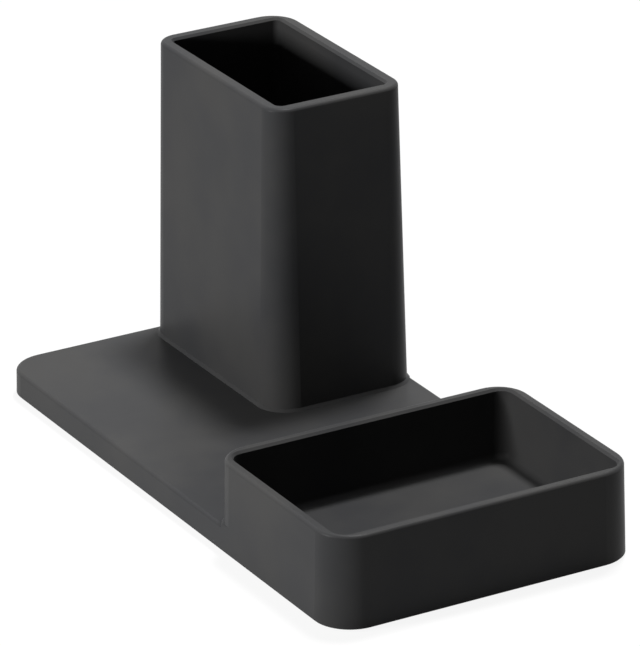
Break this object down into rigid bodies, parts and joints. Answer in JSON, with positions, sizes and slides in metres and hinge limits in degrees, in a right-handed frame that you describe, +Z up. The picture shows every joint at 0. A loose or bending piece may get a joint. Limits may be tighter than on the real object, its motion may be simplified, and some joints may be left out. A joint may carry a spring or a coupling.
{
  "type": "pen holder",
  "caption": "Black plastic desk pen holder: a tall open pen cup and a low open tray on a long base plate, hollow beneath and closed by a screwed cover on rubber feet.",
  "frame": {"origin": "middle of the base plate, on the surface that the feet stand on", "axes": "+Z up, +Y from the tray (front) to the cup (back), +X to the side that the cup stands on"},
  "size_m": [0.0992, 0.2, 0.1028],
  "materials": {
    "body": "satin black",
    "cover": "satin black",
    "screws": "zinc plated",
    "feet": "matte"
  },
  "bodies": {
    "root": {"holder_body": "body", "bottom_cover": "cover", "cover_screws": "screws", "foot_front_left": "feet", "foot_front_right": "feet", "foot_rear_left": "feet", "foot_rear_right": "feet"}
  },
  "joints": []
}
